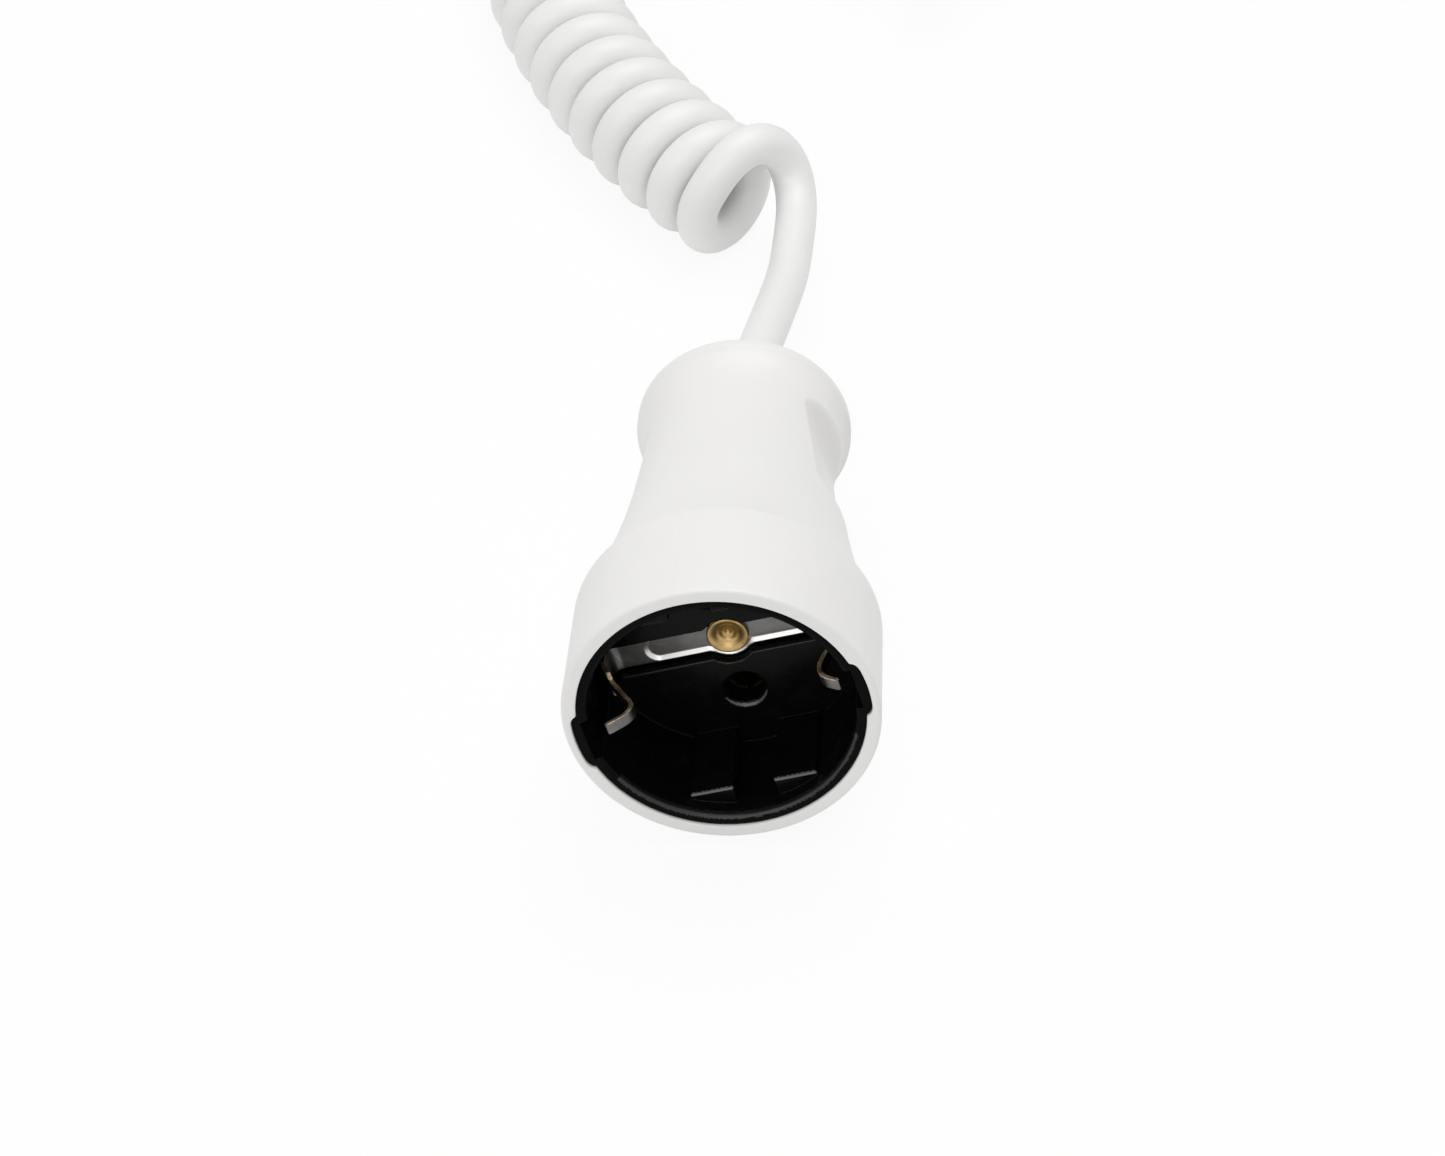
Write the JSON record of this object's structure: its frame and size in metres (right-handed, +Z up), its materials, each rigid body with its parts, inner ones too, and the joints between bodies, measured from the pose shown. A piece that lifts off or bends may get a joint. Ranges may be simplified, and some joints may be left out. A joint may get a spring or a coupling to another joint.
{
  "type": "extension cord",
  "caption": "Earthed extension cord: a white coupling socket with spring earth clips and a round-pin plug, moulded onto a curly mains cord.",
  "frame": {"origin": "on the floor under the middle of the coupling socket, measured without the cord and plug", "axes": "+Z up from the floor, +Y along the coupling from its mouth to its rear, where the cord leaves"},
  "size_m": [0.1076, 0.3757, 0.0485],
  "materials": {
    "white_pvc": "satin soft PVC",
    "white_cord": "satin soft PVC",
    "white_bridge": "hard moulded plastic",
    "black_thermoset": "black moulding with a soft gloss",
    "nickel_plate": "satin nickel plate",
    "brass": "plain brass",
    "brown_core": "satin PVC",
    "blue_core": "satin PVC",
    "earth_core": "satin PVC, yellow with a green stripe"
  },
  "bodies": {
    "root": {"socket_housing": "white_pvc", "socket_insert": "black_thermoset", "insert_cover": "black_thermoset", "earth_bracket": "nickel_plate", "earth_rivet": "brass", "earth_tag": "nickel_plate", "line_contact": "brass", "neutral_contact": "brass", "socket_line_core": "brown_core", "socket_neutral_core": "blue_core", "socket_earth_core": "earth_core", "socket_tail": "white_cord", "curly_cord": "white_cord", "plug_tail": "white_cord", "plug_housing": "white_pvc", "plug_bridge": "white_bridge", "line_pin": "nickel_plate", "neutral_pin": "nickel_plate", "plug_earth_strip": "nickel_plate", "plug_earth_sleeve": "brass", "plug_line_core": "brown_core", "plug_neutral_core": "blue_core", "plug_earth_core": "earth_core"}
  },
  "joints": []
}
